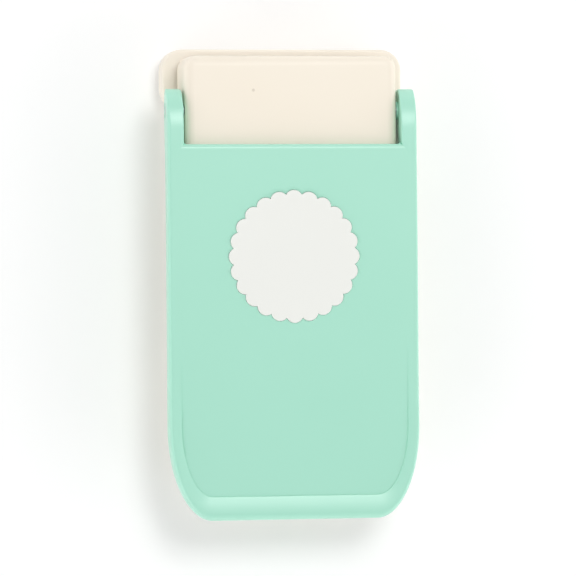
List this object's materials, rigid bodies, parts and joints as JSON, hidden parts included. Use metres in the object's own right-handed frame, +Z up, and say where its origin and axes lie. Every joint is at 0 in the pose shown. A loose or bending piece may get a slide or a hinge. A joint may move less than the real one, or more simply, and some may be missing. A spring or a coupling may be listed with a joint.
{
  "type": "paper punch",
  "caption": "Lever craft punch that cuts a scalloped circle: forked handle with shape marker, sprung cutter and die between two housings, and a slide lock.",
  "frame": {"origin": "on the table, under the middle of the closed punch's bounding box", "axes": "+Z up, +Y towards the mouth where paper goes in, -Y towards the handle's free end, +X to the right when the mouth points away from the user"},
  "size_m": [0.073, 0.1356, 0.026],
  "materials": {
    "base_shell": "satin moulded cream plastic",
    "upper_shell": "satin moulded cream plastic",
    "cover": "satin moulded cream plastic",
    "handle": "satin moulded mint green plastic",
    "marker": "satin white plastic inlay",
    "lock": "satin moulded mint green plastic",
    "plunger": "natural white moulded plastic",
    "die_steel": "plated sheet steel, stamped",
    "cutter_zinc": "cast zinc alloy with a ground cutting edge",
    "fastener_steel": "zinc-plated steel",
    "spring_steel": "drawn spring wire"
  },
  "bodies": {
    "base": {"base_housing": "base_shell", "bottom_cover": "cover", "upper_housing": "upper_shell", "throat_spacer": "cover", "die_plate": "die_steel", "guide_plate": "die_steel", "spring_pin_rear": "fastener_steel", "spring_pin_front": "fastener_steel", "return_spring_rear": "spring_steel", "return_spring_front": "spring_steel", "left_hinge_pin": "fastener_steel", "right_hinge_pin": "fastener_steel", "housing_screw_rear_left": "fastener_steel", "housing_screw_rear_right": "fastener_steel", "housing_screw_front_left": "fastener_steel", "housing_screw_front_right": "fastener_steel", "guide_screw_rear_left": "fastener_steel", "guide_screw_rear_right": "fastener_steel", "guide_screw_front_left": "fastener_steel", "guide_screw_front_right": "fastener_steel", "die_screw_rear_left": "fastener_steel", "die_screw_rear_right": "fastener_steel", "die_screw_front_left": "fastener_steel", "die_screw_front_right": "fastener_steel"},
    "ram": {"punch_cutter": "cutter_zinc", "plunger": "plunger", "plunger_screw_rear": "fastener_steel", "plunger_screw_front": "fastener_steel"},
    "lever": {"lever_handle": "handle", "shape_marker": "marker"},
    "lock": {"lock_slide": "lock"}
  },
  "joints": [
    {"name": "lever_hinge", "type": "hinge", "parent": "base", "child": "lever", "pos_m": [0, 0.0496, 0.0186], "axis": [-1, 0, 0], "range_deg": [0, 8]},
    {"name": "ram_slide", "type": "slide", "parent": "base", "child": "ram", "axis": [0, 0, 1], "range_m": [0, 0.00585], "deforming": ["return_spring_rear", "return_spring_front"]},
    {"name": "lock_slide", "type": "slide", "parent": "base", "child": "lock", "axis": [0, 1, 0], "range_m": [0, 0.003]}
  ],
  "couplings": [
    {"joint": "ram_slide", "follows": "lever_hinge", "m_per_rad": 0.0416}
  ]
}
